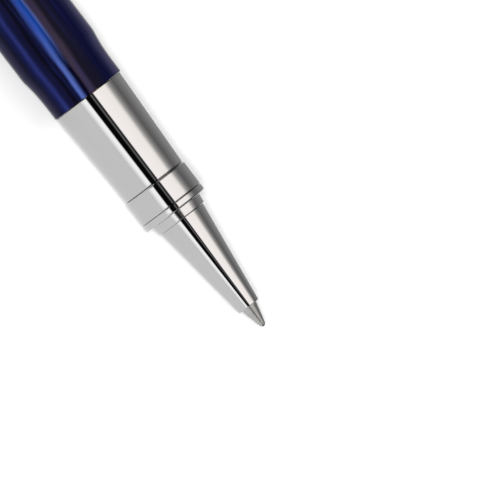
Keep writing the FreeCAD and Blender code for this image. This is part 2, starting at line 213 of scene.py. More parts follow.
def newMaterial(name, settings=None):
    # one shader with its settings; the coordinates are the piece's own, in metres
    material = bpy.data.materials.new(name)
    material.use_nodes = True
    tree = material.node_tree
    tree.nodes.clear()
    shader = addNode(tree, "ShaderNodeBsdfPrincipled", settings)
    addNode(tree, "ShaderNodeOutputMaterial", None, {"Surface": shader.outputs["BSDF"]})
    coords = addNode(tree, "ShaderNodeTexCoord")
    return material, tree, shader, coords.outputs["Object"]


def angleAcross(tree, vector, startAt=0.0):
    # turns about the pen's axis, from 0 to 1; half a turn is the +Y side
    parts = addNode(tree, "ShaderNodeSeparateXYZ", None, {"Vector": vector})
    angle = addNode(tree, "ShaderNodeMath", {"operation": "ARCTAN2"}, {
        0: parts.outputs["Z"], 1: parts.outputs["Y"]})
    turns = addNode(tree, "ShaderNodeMath", {
        "operation": "MULTIPLY_ADD", 1: 0.5 / math.pi, 2: 0.5 + startAt}, {0: angle.outputs["Value"]})
    return turns.outputs["Value"], parts


def unevenness(tree, vector, along, across, detail=2.0, roughness=0.5):
    # what is uneven in a surface, in patches or lines so many millimetres long and wide
    mapping = addNode(tree, "ShaderNodeMapping", {
        "Scale": (1 / (along * mm), 1 / (across * mm), 1 / (across * mm)), "Location": patternShift},
        {"Vector": vector})
    noise = addNode(tree, "ShaderNodeTexNoise", {"Scale": 1.0, "Detail": detail, "Roughness": roughness}, {
        "Vector": mapping.outputs["Vector"]})
    return noise.outputs["Fac"]


chromeLook = {
    "colour": "#b6b6b6",
    "roughness": (0.02, 0.05),
    "satinRoughness": (0.1, 0.16),  # the collar is left duller than the rest
    "hazeSize": 7.0,      # mm, patches of handling haze
    "polishLines": 0.12,  # mm between polishing lines; real ones are ten times finer and wouldn't show
    "lineLength": 14.0,   # mm
    "bump": 0.02,
    "bumpDepth": 0.01,    # mm
}


def makeChrome(name, roughness):
    # bright chrome plate on turned brass, buffed: nearly a mirror, with faint lines round it and soft haze
    look = chromeLook
    material, tree, shader, coords = newMaterial(name, {
        "Base Color": linear(look["colour"]), "Metallic": 1.0})
    haze = unevenness(tree, coords, look["hazeSize"], look["hazeSize"] / 2, detail=3.0)
    shine = addNode(tree, "ShaderNodeMapRange", {(1, 2): hazeNoise, (3, 4): roughness}, {0: haze})
    tree.links.new(shine.outputs[0], shader.inputs["Roughness"])
    lines = unevenness(tree, coords, look["polishLines"], look["lineLength"])
    bump = addNode(tree, "ShaderNodeBump", {
        "Strength": look["bump"], "Distance": look["bumpDepth"] * mm}, {"Height": lines})
    tree.links.new(bump.outputs["Normal"], shader.inputs["Normal"])
    return material


steelLook = {
    "colour": "#b6b6b4",
    "darkColour": "#9c9c9a",
    "roughness": (0.3, 0.42),
    "toolLines": 0.07,   # mm between the marks of the lathe tool
    "lineLength": 20.0,  # mm
    "cloud": (1.6, 0.8),  # mm along and across, patches of darker metal
    "bump": 0.12,
    "bumpDepth": 0.01,   # mm
}


def makeTurnedSteel():
    # stainless steel, fine turned and left unpolished: satin, with fine rings round it
    look = steelLook
    material, tree, shader, coords = newMaterial("stainlessSteelFineTurned", {"Metallic": 1.0})
    lines = unevenness(tree, coords, look["toolLines"], look["lineLength"], detail=1.0)
    cloud = unevenness(tree, coords, *look["cloud"], detail=3.0)
    colour = addNode(tree, "ShaderNodeMix", {
        "data_type": "RGBA", 6: linear(look["darkColour"]), 7: linear(look["colour"])}, {0: cloud})
    tree.links.new(colour.outputs[2], shader.inputs["Base Color"])
    shine = addNode(tree, "ShaderNodeMapRange", {(1, 2): midNoise, (3, 4): look["roughness"]}, {0: lines})
    tree.links.new(shine.outputs[0], shader.inputs["Roughness"])
    bump = addNode(tree, "ShaderNodeBump", {
        "Strength": look["bump"], "Distance": look["bumpDepth"] * mm}, {"Height": lines})
    tree.links.new(bump.outputs["Normal"], shader.inputs["Normal"])
    return material


carbideLook = {"colour": "#6f6f72", "roughness": (0.08, 0.2), "grain": 0.05}


def makeCarbide():
    # tungsten carbide, sintered and lapped: dark grey metal with a fine grain that dulls the shine a little
    look = carbideLook
    material, tree, shader, coords = newMaterial("tungstenCarbideLapped", {
        "Base Color": linear(look["colour"]), "Metallic": 1.0})
    grain = unevenness(tree, coords, look["grain"], look["grain"])
    shine = addNode(tree, "ShaderNodeMapRange", {(1, 2): midNoise, (3, 4): look["roughness"]}, {0: grain})
    tree.links.new(shine.outputs[0], shader.inputs["Roughness"])
    return material


brassLook = {
    "colour": "#c9a557",
    "tarnish": "#8a6a32",
    "roughness": (0.16, 0.36),
    "toolLines": 0.15,   # mm, feed of the lathe tool
    "lineLength": 20.0,  # mm
    "tarnishSize": 3.0,  # mm
    "tarnishFrom": (0.45, 0.75),
    "tarnishShare": 0.8,
    "bump": 0.15,
    "bumpDepth": 0.02,   # mm
}


def makeBrass():
    # free-cutting brass, turned: yellow with fine rings, browner where it has been handled
    look = brassLook
    material, tree, shader, coords = newMaterial("brassTurned", {"Metallic": 1.0})
    lines = unevenness(tree, coords, look["toolLines"], look["lineLength"], detail=1.0)
    patches = unevenness(tree, coords, look["tarnishSize"], look["tarnishSize"], detail=4.0, roughness=0.6)
    share = addNode(tree, "ShaderNodeMapRange", {
        (1, 2): look["tarnishFrom"], (3, 4): (0.0, look["tarnishShare"])}, {0: patches})
    colour = addNode(tree, "ShaderNodeMix", {
        "data_type": "RGBA", 6: linear(look["colour"]), 7: linear(look["tarnish"])}, {0: share})
    tree.links.new(colour.outputs[2], shader.inputs["Base Color"])
    shine = addNode(tree, "ShaderNodeMapRange", {(1, 2): midNoise, (3, 4): look["roughness"]}, {0: lines})
    tree.links.new(shine.outputs[0], shader.inputs["Roughness"])
    bump = addNode(tree, "ShaderNodeBump", {
        "Strength": look["bump"], "Distance": look["bumpDepth"] * mm}, {"Height": lines})
    tree.links.new(bump.outputs["Normal"], shader.inputs["Normal"])
    return material


springLook = {
    "colour": "#9d9ea2",
    "oiled": "#77726a",
    "roughness": (0.22, 0.4),
    "drawMarks": 0.05,  # mm wide
    "markStretch": 6,   # how many times as long as wide
    "oilSize": 1.2,     # mm
    "oilFrom": (0.4, 0.7),
}


def makeSpringSteel():
    # spring steel, cold drawn: grey, with fine draw marks and a trace of oil
    look = springLook
    material, tree, shader, coords = newMaterial("springSteelDrawn", {"Metallic": 1.0})
    marks = unevenness(tree, coords, look["drawMarks"] * look["markStretch"], look["drawMarks"])
    oil = unevenness(tree, coords, look["oilSize"], look["oilSize"], detail=3.0)
    share = addNode(tree, "ShaderNodeMapRange", {(1, 2): look["oilFrom"], (3, 4): (0.0, 1.0)}, {0: oil})
    colour = addNode(tree, "ShaderNodeMix", {
        "data_type": "RGBA", 6: linear(look["colour"]), 7: linear(look["oiled"])}, {0: share})
    tree.links.new(colour.outputs[2], shader.inputs["Base Color"])
    shine = addNode(tree, "ShaderNodeMapRange", {(1, 2): midNoise, (3, 4): look["roughness"]}, {0: marks})
    tree.links.new(shine.outputs[0], shader.inputs["Roughness"])
    return material


plasticLook = {
    "colour": "#23305f",
    "roughness": (0.38, 0.52),
    "texture": 0.18,    # mm
    "bump": 0.1,
    "bumpDepth": 0.02,  # mm
}


def makeRefillPlastic():
    # polypropylene, moulded: dull blue with the soft orange-peel of the mould
    look = plasticLook
    material, tree, shader, coords = newMaterial("polypropyleneMoulded", {
        "Base Color": linear(look["colour"]), "IOR": 1.49})
    peel = unevenness(tree, coords, look["texture"], look["texture"])
    shine = addNode(tree, "ShaderNodeMapRange", {(1, 2): midNoise, (3, 4): look["roughness"]}, {0: peel})
    tree.links.new(shine.outputs[0], shader.inputs["Roughness"])
    bump = addNode(tree, "ShaderNodeBump", {
        "Strength": look["bump"], "Distance": look["bumpDepth"] * mm}, {"Height": peel})
    tree.links.new(bump.outputs["Normal"], shader.inputs["Normal"])
    return material


fibreLook = {
    "colour": "#10183c",
    "paler": "#26346e",
    "palerFrom": (0.35, 0.65),
    "fibre": 0.08,       # mm wide
    "fibreStretch": 30,  # how many times as long as wide
    "bump": 0.5,
    "bumpDepth": 0.03,   # mm
}


def makeInkFibre():
    # polyester fibre rod soaked with ink: matt, dark, with fine fibres running along it
    look = fibreLook
    material, tree, shader, coords = newMaterial("polyesterFibreInked", {"Roughness": 0.9, "IOR": 1.4})
    fibres = unevenness(tree, coords, look["fibre"] * look["fibreStretch"], look["fibre"])
    share = addNode(tree, "ShaderNodeMapRange", {
        (1, 2): look["palerFrom"], (3, 4): (0.0, 1.0)}, {0: fibres})
    colour = addNode(tree, "ShaderNodeMix", {
        "data_type": "RGBA", 6: linear(look["colour"]), 7: linear(look["paler"])}, {0: share})
    tree.links.new(colour.outputs[2], shader.inputs["Base Color"])
    bump = addNode(tree, "ShaderNodeBump", {
        "Strength": look["bump"], "Distance": look["bumpDepth"] * mm}, {"Height": fibres})
    tree.links.new(bump.outputs["Normal"], shader.inputs["Normal"])
    return material


innerLook = {
    "colour": "#141416",
    "roughness": (0.42, 0.6),
    "texture": 0.25,    # mm
    "bump": 0.15,
    "bumpDepth": 0.02,  # mm
}


def makeInnerPlastic():
    # black ABS, moulded: the cup that seals the writing end, fine matt texture
    look = innerLook
    material, tree, shader, coords = newMaterial("absMouldedBlack", {
        "Base Color": linear(look["colour"]), "IOR": 1.54})
    texture = unevenness(tree, coords, look["texture"], look["texture"], detail=3.0)
    shine = addNode(tree, "ShaderNodeMapRange", {(1, 2): midNoise, (3, 4): look["roughness"]}, {0: texture})
    tree.links.new(shine.outputs[0], shader.inputs["Roughness"])
    bump = addNode(tree, "ShaderNodeBump", {
        "Strength": look["bump"], "Distance": look["bumpDepth"] * mm}, {"Height": texture})
    tree.links.new(bump.outputs["Normal"], shader.inputs["Normal"])
    return material


rubberLook = {"colour": "#1a1a1b", "roughness": (0.55, 0.75), "bloom": 0.6}


def makeRubber():
    # nitrile rubber, moulded: soft black, slightly greased
    look = rubberLook
    material, tree, shader, coords = newMaterial("nitrileRubberMoulded", {
        "Base Color": linear(look["colour"]), "IOR": 1.52})
    bloom = unevenness(tree, coords, look["bloom"], look["bloom"], detail=3.0)
    shine = addNode(tree, "ShaderNodeMapRange", {(1, 2): hazeNoise, (3, 4): look["roughness"]}, {0: bloom})
    tree.links.new(shine.outputs[0], shader.inputs["Roughness"])
    return material


# the stripes in the blue rod, by the angle about the pen's axis from the +Y side, in degrees: stripes of
# pearl marbling, with painted light where the rod faces the camera: a pale painted highlight at 20 to 27
# degrees, painted dark reflections beside it at 9 to 18 and 29 to 33, and a painted lighter sheen towards
# the edges at
# 83 to 104 and near -34; the rear stripes take over the same angles further along the barrel and carry the
# painted highlight on in deeper blue
resinLook = {
    "stripesAndPaintedLight": [
        (-180, "#0a0c28"), (-158, "#070820"), (-152, "#2a3675"), (-147, "#414e94"), (-144, "#060618"),
        (-106, "#1f2a66"), (-101, "#080a20"), (-60, "#16173a"), (-34, "#1e1d38"),
        (-23, "#0b0a20"), (-14, "#0c1138"), (-7, "#20265c"), (-1, "#0c0e2e"), (6, "#0b0b26"),
        (9, "#030310"),
        (18, "#010112"), (20.3, "#101a46"), (22, "#3c4c8a"), (24, "#485a9c"), (26.5, "#36467c"),
        (29.3, "#080b24"), (33, "#040212"), (35.5, "#2c2433"), (41, "#2a2230"), (46, "#0d0b18"),
        (74, "#0a0c2c"), (83, "#1c1d3c"), (94, "#3c3a5a"), (104, "#4c4c6c"), (112, "#0a0c28"),
        (155, "#46548e"), (160, "#06081c"),
    ],
    # the painted highlight carried on along the rear of the barrel, in deeper blue
    "rearStripesAndPaintedLight": [
        (15, "#01011200"), (18, "#04092aff"), (20.5, "#202e62ff"), (24, "#243a7eff"), (27.5, "#143880ff"),
        (30, "#0c2a6aff"), (32, "#404f86ff"), (34.5, "#302e4cff"), (38, "#1c162800"),
    ],
    "rearFrom": (46.0, 54.0),  # mm along the pen, where the stripes turn from pale to deep blue
    "twist": 0.3,           # degrees of turn to a millimetre along the rod
    "twistFrom": 43.0,      # mm along the pen, where the angles above hold
    "wander": 0.004,        # turns, how far a stripe strays
    "wanderSize": (26.0, 5.0),  # mm along and across
    "ragged": 0.006,        # turns, waves in a stripe's edge
    "raggedSize": (5.5, 1.6),   # mm along and across
    "veinColour": "#1c2460",
    "veinSize": (16.0, 0.75),   # mm along and across
    "veinFrom": (0.62, 0.74),
    "veinShare": 0.2,
    "cloudSize": (9.0, 2.2),    # mm along and across
    "cloud": (0.55, 0.8),   # the colour is held back to between these shares of itself
    "gloss": 0.03,          # mirror strength of the lacquer-like surface
    "hazeSize": 4.0,        # mm
    "roughness": (0.05, 0.11),
    "pearlFrom": (0.02, 0.12),  # brightness, from where a stripe shows pearl
    "pearl": 0.1,           # how metallic the palest stripes are
    "discHalf": 3.6,        # mm from the disc's middle to its edge
    "discStripes": (0.3, 0.62),  # turns, the stripes that the disc shows
}


def makeMarbledResinWithPaintedLight(name, startAt=0.0, flatDisc=False):
    # cast acrylic rod, marbled with pearl and polished: deep navy with long lavender stripes under a gloss;
    # the
    # stripe table also holds painted light: a painted highlight with painted dark reflections beside it and
    # a painted lighter sheen towards the edges
    look = resinLook
    material, tree, shader, coords = newMaterial(name, {"IOR": 1.49, "Specular IOR Level": look["gloss"]})
    across, parts = angleAcross(tree, coords, startAt)
    if flatDisc:
        # cut across the rod, so the stripes run over the disc side by side
        half = look["discHalf"] * mm
        across = addNode(tree, "ShaderNodeMapRange", {
            (1, 2): (-half, half), (3, 4): look["discStripes"]}, {0: parts.outputs["Z"]})
    else:
        twist = addNode(tree, "ShaderNodeMath", {
            "operation": "MULTIPLY_ADD",
            1: -look["twist"] / 360 / mm, 2: look["twist"] * look["twistFrom"] / 360},
            {0: parts.outputs["X"]})
        across = addNode(tree, "ShaderNodeMath", {"operation": "ADD"}, {0: across, 1: twist})
    slow = unevenness(tree, coords, *look["wanderSize"], detail=1.0)
    quick = unevenness(tree, coords, *look["raggedSize"], detail=3.0, roughness=0.6)
    moved = addNode(tree, "ShaderNodeMath", {"operation": "MULTIPLY_ADD", 1: 2 * look["wander"]}, {
        0: slow, 2: across})
    moved = addNode(tree, "ShaderNodeMath", {"operation": "MULTIPLY_ADD", 1: 2 * look["ragged"]}, {
        0: quick, 2: moved})
    centred = addNode(tree, "ShaderNodeMath", {
        "operation": "SUBTRACT", 1: look["wander"] + look["ragged"]}, {0: moved})
    turns = addNode(tree, "ShaderNodeMath", {"operation": "FRACT"}, {0: centred})
    # the marbling stripes, mixed with a painted highlight, painted dark reflections and painted edge sheen
    stripesAndPaintedLight = addNode(tree, "ShaderNodeValToRGB", {
        "stops": [(a / 360 + 0.5, linear(c)) for a, c in look["stripesAndPaintedLight"]]}, {0: turns})
    # the painted highlight carried on along the rear of the barrel, in deeper blue
    # the rear stripes' last two digits say how much of them shows
    rearStripesAndPaintedLight = addNode(tree, "ShaderNodeValToRGB", {
        "stops": [(a / 360 + 0.5, (*linear(c)[:3], int(c[7:], 16) / 255))
                  for a, c in look["rearStripesAndPaintedLight"]]}, {0: turns})
    along = addNode(tree, "ShaderNodeMapRange", {
        (1, 2): [x * mm for x in look["rearFrom"]], (3, 4): (0.0, 1.0)}, {0: parts.outputs["X"]})
    share = addNode(tree, "ShaderNodeMath", {"operation": "MULTIPLY"}, {
        0: rearStripesAndPaintedLight.outputs["Alpha"], 1: along})
    colour = addNode(tree, "ShaderNodeMix", {"data_type": "RGBA"}, {0: share, 6: stripesAndPaintedLight, 7: rearStripesAndPaintedLight})
    veins = addNode(tree, "ShaderNodeMapRange", {
        (1, 2): look["veinFrom"], (3, 4): (0.0, look["veinShare"])}, {
        0: unevenness(tree, coords, *look["veinSize"], detail=1.0)})
    colour = addNode(tree, "ShaderNodeMix", {"data_type": "RGBA", 7: linear(look["veinColour"])}, {
        0: veins, 6: colour.outputs[2]})
    shade = addNode(tree, "ShaderNodeMapRange", {(1, 2): midNoise, (3, 4): look["cloud"]}, {
        0: unevenness(tree, coords, *look["cloudSize"])})
    colour = addNode(tree, "ShaderNodeVectorMath", {"operation": "SCALE"}, {
        0: colour.outputs[2], "Scale": shade})
    tree.links.new(colour.outputs[0], shader.inputs["Base Color"])
    brightness = addNode(tree, "ShaderNodeRGBToBW", None, {0: colour})
    pearl = addNode(tree, "ShaderNodeMapRange", {
        (1, 2): look["pearlFrom"], (3, 4): (0.0, look["pearl"])}, {0: brightness})
    tree.links.new(pearl.outputs[0], shader.inputs["Metallic"])
    haze = unevenness(tree, coords, look["hazeSize"], look["hazeSize"], detail=3.0)
    shine = addNode(tree, "ShaderNodeMapRange", {(1, 2): hazeNoise, (3, 4): look["roughness"]}, {0: haze})
    tree.links.new(shine.outputs[0], shader.inputs["Roughness"])
    return material


chrome = makeChrome("chromePlatedBrassBuffed", chromeLook["roughness"])
satinChrome = makeChrome("chromePlatedBrassSatin", chromeLook["satinRoughness"])
turnedSteel = makeTurnedSteel()
carbide = makeCarbide()
brass = makeBrass()
springSteel = makeSpringSteel()
refillPlastic = makeRefillPlastic()
inkFibre = makeInkFibre()
innerPlastic = makeInnerPlastic()
rubber = makeRubber()
# all three resins carry the same painted highlight, painted dark reflections and painted edge sheen in
# their stripes
barrelResin = makeMarbledResinWithPaintedLight("acrylicMarbledPolishedPaintedLight")
capResin = makeMarbledResinWithPaintedLight("acrylicMarbledCapPaintedLight", startAt=0.37)  # cut from the rod at another turn
discResin = makeMarbledResinWithPaintedLight("acrylicMarbledDiscPaintedLight", flatDisc=True)
print("materials made")


# what follows is in millimetres: along the pen from the writing tip, and out from its axis
refillTipLook = {
    "ballSeat": [(0.47, 0.2), (0.38, 0.28), (0.23, 0.355)],  # back from the lip, and radius
    "socket": 0.37, "lip": 0.43, "lipRound": 0.04, "crimp": 0.3, "crimpWider": 0.076,
    "coneRear": 3.46, "coneRound": 0.6, "spigot": 0.9, "spigotLength": 3.0,
    "channel": 0.2, "feedFrom": 2.7, "feedBore": 0.55,
}


def makeRefillTip():
    front, end, radius = extent("refill_tip")
    look = refillTipLook
    seat = end - look["spigotLength"]
    piece = turnPiece("refill_tip_turned", [
        *((front + back, seatRadius) for back, seatRadius in look["ballSeat"]),
        (front, look["socket"]), (front, look["lip"], look["lipRound"]),
        (front + look["crimp"], look["lip"] + look["crimpWider"]),
        (look["coneRear"], radius, look["coneRound"]), (seat, radius), (seat, look["spigot"]),
        (end, look["spigot"]), (end, look["feedBore"]), (look["feedFrom"], look["feedBore"]),
        (look["feedFrom"], look["channel"]),
    ])
    place(piece, "refill_tip", "refill", turnedSteel)


noseLook = {
    "mouth": 1.32, "mouthRound": 0.06, "frontRadius": 1.75, "rimRound": 0.14, "shoulderRound": 0.05,
    "spigot": 3.45, "spigotLength": 4.8, "spigotRound": 0.15,
    "rearBore": 2.5, "rearBoreTo": 14.3, "middleBore": 1.9, "middleBoreTo": 8.98,
}


def makeNoseCone():
    front, end, radius = extent("nose_cone")
    look = noseLook
    shoulder = end - look["spigotLength"]
    piece = turnPiece("nose_cone_turned", [
        (front, look["mouth"], look["mouthRound"]), (front, look["frontRadius"], look["rimRound"]),
        (shoulder, radius, look["shoulderRound"]), (shoulder, look["spigot"]),
        (end, look["spigot"], look["spigotRound"]), (end, look["rearBore"]),
        (look["rearBoreTo"], look["rearBore"]), (look["rearBoreTo"], look["middleBore"]),
        (look["middleBoreTo"], look["middleBore"]), (look["middleBoreTo"], look["mouth"]),
    ])
    place(piece, "nose_cone", "section", chrome)


collarLook = {"bore": 3.5, "frontRadius": 4.05, "frontRound": 0.18, "rearRound": 0.06}
flangeLook = {"bore": 3.5, "frontRound": 0.3, "rearRound": 0.2}
bandLook = {"bore": 4.35, "frontRound": 0.2, "rearRound": 0.42}
tailRingLook = {"bore": 1.55, "frontRound": 0.15, "rearRound": 0.15}


def makeRing(node, look, body, material):
    front, end, radius = extent(node)
    piece = turnPiece(node + "_turned", [
        (front, look["bore"]), (front, look.get("frontRadius", radius), look["frontRound"]),
        (end, radius, look["rearRound"]), (end, look["bore"]),
    ])
    place(piece, node, body, material)


sleeveLook = {
    "frontRadius": 5.1, "frontRound": 0.2, "rearRound": 0.14,
    "bore": 4.35, "rearBore": 5.05, "counterbore": 1.5,
}


def makeGripSleeve():
    front, end, radius = extent("grip_sleeve")
    look = sleeveLook
    step = end - look["counterbore"]
    piece = turnPiece("grip_sleeve_turned", [
        (front, look["bore"]), (front, look["frontRadius"], look["frontRound"]),
        (end, radius, look["rearRound"]), (end, look["rearBore"]),
        (step, look["rearBore"]), (step, look["bore"]),
    ])
    place(piece, "grip_sleeve", "section", chrome)


barrelLook = {
    "neckRadius": 5.85, "mouthNarrower": 0.02, "mouthRound": 0.1,
    "flareAt": 46.02, "flareRound": 27.5,
    "shoulderAt": 48.4, "shoulderLower": 0.02, "shoulderRound": 0.4, "shoulderLength": 0.4,
    "taperFrom": 88.0, "taperRound": 150, "rearRadius": 5.2, "rearRound": 0.12,
    "bore": 4.4, "bushBore": 5.1, "bushRear": 53.0,
}


def makeBarrel():
    front, end, radius = extent("barrel_shell")
    look = barrelLook
    piece = turnPiece("barrel_shell_turned", [
        (front, look["bushBore"]),
        (front, look["neckRadius"] - look["mouthNarrower"], look["mouthRound"]),
        (look["flareAt"], look["neckRadius"], look["flareRound"]),
        (look["shoulderAt"], radius - look["shoulderLower"], look["shoulderRound"]),
        (look["shoulderAt"] + look["shoulderLength"], radius),
        (look["taperFrom"], radius, look["taperRound"]),
        (end, look["rearRadius"], look["rearRound"]), (end, look["bore"]),
        (look["bushRear"], look["bore"]), (look["bushRear"], look["bushBore"]),
    ])
    place(piece, "barrel_shell", "barrel", barrelResin)


tailCapLook = {
    "stud": 1.45, "studRound": 0.2, "radius": 5.05, "frontRound": 0.15,
    "domeFrom": 0.4, "domeIn": 0.3, "domeRound": 1.7, "topFrom": 0.08, "topRadius": 1.2,
}


def makeTailCap():
    front, end, _ = extent("tail_cap")
    capFront = extent("tail_ring")[1]
    look = tailCapLook
    radius = look["radius"]
    piece = turnPiece("tail_cap_turned", [
        (front, 0), (front, look["stud"], look["studRound"]), (capFront, look["stud"]),
        (capFront, radius, look["frontRound"]),
        (end - look["domeFrom"], radius - look["domeIn"], look["domeRound"]),
        (end - look["topFrom"], look["topRadius"]), (end, 0),
    ])
    place(piece, "tail_cap", "barrel", chrome)


lipBandLook = {
    "bore": 5.95, "boreRound": 0.12, "lipRound": 0.35, "lipLength": 1.2, "linerBore": 6.25,
    "grooveAt": 3.0, "grooveDeep": 0.25, "grooveWidth": 0.35, "grooveRound": 0.15,
    "rearLower": 0.03, "rearRound": 0.12,
}


def makeCapLipBand():
    front, end, radius = extent("cap_lip_band")
    look = lipBandLook
    groove = front + look["grooveAt"]
    grooveEnd = groove + look["grooveWidth"]
    floor = radius - look["grooveDeep"]
    rearRadius = radius - look["rearLower"]
    piece = turnPiece("cap_lip_band_turned", [
        (front, look["bore"], look["boreRound"]), (front, radius, look["lipRound"]),
        (groove, radius, look["grooveRound"]), (groove, floor), (grooveEnd, floor),
        (grooveEnd, rearRadius, look["rearRound"]), (end, rearRadius, look["rearRound"]),
        (end, look["linerBore"]), (front + look["lipLength"], look["linerBore"]),
        (front + look["lipLength"], look["bore"]),
    ])
    place(piece, "cap_lip_band", "cap", chrome)


capShellLook = {"bore": 6.25, "edgeRound": 0.1, "taper": 0.15}


def makeCapShell():
    front, end, radius = extent("cap_shell")
    look = capShellLook
    piece = turnPiece("cap_shell_turned", [
        (front, look["bore"]), (front, radius, look["edgeRound"]),
        (end, radius - look["taper"], look["edgeRound"]), (end, look["bore"]),
    ])
    place(piece, "cap_shell", "cap", capResin)


topRingLook = {"bore": 6.25, "round": 0.25, "grooveHalf": 0.15, "grooveDeep": 0.2, "grooveRound": 0.15}


def makeCapTopRing():
    front, end, radius = extent("cap_top_ring")
    look = topRingLook
    middle = (front + end) / 2
    floor = radius - look["grooveDeep"]
    piece = turnPiece("cap_top_ring_turned", [
        (front, look["bore"]), (front, radius, look["round"]),
        (middle - look["grooveHalf"], radius, look["grooveRound"]), (middle - look["grooveHalf"], floor),
        (middle + look["grooveHalf"], floor), (middle + look["grooveHalf"], radius, look["grooveRound"]),
        (end, radius, look["round"]), (end, look["bore"]),
    ])
    place(piece, "cap_top_ring", "cap", chrome)


crownLook = {
    "radius": 6.6, "frontRound": 0.3, "domeFrom": 0.7, "domeIn": 0.6, "domeRound": 2.0,
    "recess": 3.6, "recessDeep": 0.8, "rimWidth": 0.3, "rimRound": 0.1,
    "thread": 1.05, "threadDeep": 2.2,
}


def makeCrown():
    front, end, _ = extent("cap_crown")
    look = crownLook
    radius = look["radius"]
    seat = end - look["recessDeep"]
    threadEnd = front + look["threadDeep"]
    piece = turnPiece("cap_crown_turned", [
        (front, look["thread"]), (front, radius, look["frontRound"]),
        (end - look["domeFrom"], radius - look["domeIn"], look["domeRound"]),
        (end, look["recess"] + look["rimWidth"], look["rimRound"]), (end, look["recess"]),
        (seat, look["recess"]), (seat, 0), (threadEnd, 0), (threadEnd, look["thread"]),
    ])
    place(piece, "cap_crown", "cap", chrome)


discLook = {
    "edgeHigh": 0.25, "edgeRound": 0.2,
    "crowning": [(0.11, 2.5), (0.03, 1.2)],  # down from the top, and radius
}


def makeCrownDisc():
    front, end, radius = extent("crown_disc")
    look = discLook
    piece = turnPiece("crown_disc_turned", [
        (front, 0), (front, radius), (end - look["edgeHigh"], radius, look["edgeRound"]),
        *((end - below, out) for below, out in look["crowning"]), (end, 0),
    ])
    place(piece, "crown_disc", "cap", discResin)


# the clip's side is given with the cap lying along X and the clip up: along the cap from its mouth, and
# out from the cap's axis
clipLook = {
    "side": [
        (56.2, 6.9), (54.8, 8.3, 1.4), (50.0, 9.45, 6), (24.0, 9.75, 10), (19.2, 9.8, 2),
        (16.6, 10.4), (16.2, 9.7), (18.4, 7.95, 0.8), (20.4, 7.0, 0.8),
        (23.2, 8.55, 1.5), (46.6, 8.3, 3), (49.4, 7.3), (50.9, 7.2), (50.9, 4.0, 0.8),
        (54.0, 4.0, 0.8), (54.0, 5.05), (56.2, 5.05),
    ],
    "tipWidth": 2.6, "tipAt": 15.2, "topWidth": 3.8, "heelAt": 57.0,
    "rootWidth": 2.4, "rootTop": 7.25, "rootFront": 49.9,
    "pinHole": 0.53, "pinHoleSides": 48, "pinAt": (52.5, 4.9),
    "edgeRound": 0.22, "edgeSteps": 4, "edgeAngle": 40,  # degrees, edges that turn more are rounded
    "cutter": 10,        # mm, long enough to cut right through
    "direction": 125.0,  # degrees about the pen's axis from the top, towards the back
}


def cutAway(piece, cutter):
    # takes the cutter's shape out of the piece
    applyModifier(piece, "BOOLEAN", operation="DIFFERENCE", object=cutter, solver="EXACT")
    bpy.data.objects.remove(cutter)


def makeClip():
    look = clipLook
    half = look["topWidth"] / 2 * mm
    tipHalf = look["tipWidth"] / 2 * mm
    tip, heel = look["tipAt"] * mm, look["heelAt"] * mm

    def halfWidth(x):
        # the blade narrows evenly towards its tip
        return tipHalf + (half - tipHalf) * (x - tip) / (heel - tip)

    outline = roundCorners(look["side"])
    piece = drawOutline("clip_formed", [Vector((p.x, -halfWidth(p.x), p.y)) for p in outline])
    bpy.ops.mesh.edge_face_add()
    bpy.ops.mesh.extrude_region_move()
    bpy.ops.transform.resize(value=(1, -1, 1), center_override=(0, 0, 0))
    bpy.ops.mesh.select_all(action="SELECT")
    bpy.ops.mesh.normals_make_consistent(inside=False)
    bpy.ops.object.mode_set(mode="OBJECT")
    applyModifier(piece, "BEVEL", width=look["edgeRound"] * mm, segments=look["edgeSteps"],
                  limit_method="ANGLE", angle_limit=math.radians(look["edgeAngle"]),
                  use_clamp_overlap=False)
    # the root goes through the cap's slot, so it is narrower than the blade
    for side in (-1, 1):
        deselectAll()
        bpy.ops.mesh.primitive_cube_add(
            size=1, scale=(look["cutter"] * mm, half, look["rootTop"] * mm),
            location=((look["rootFront"] + look["cutter"] / 2) * mm,
                      side * (look["rootWidth"] * mm + half) / 2, look["rootTop"] / 2 * mm))
        cutAway(piece, bpy.context.object)
    deselectAll()
    bpy.ops.mesh.primitive_cylinder_add(
        vertices=look["pinHoleSides"], radius=look["pinHole"] * mm, depth=look["cutter"] * mm,
        rotation=(math.pi / 2, 0, 0), location=(look["pinAt"][0] * mm, 0, look["pinAt"][1] * mm))
    cutAway(piece, bpy.context.object)
    finishShading(piece)
    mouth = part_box("cap_lip_band")[0].x
    settle(piece, (math.radians(look["direction"]), 0, 0), (mouth, 0, 0))
    place(piece, "clip", "clip", chrome)


# the travel is how far a spring gives when its joint is at the limit
springPlay = 0.02  # left free at each end of a spring
wireSides = 12
coilSteps = 28  # facets round one turn of a coil
refillSpringLook = {"meanRadius": 2.3, "wire": 0.25, "turns": 6, "travel": 1.5}
clipSpringLook = {"meanRadius": 0.65, "wire": 0.14, "turns": 5, "foot": 2.46, "travel": 0.46}


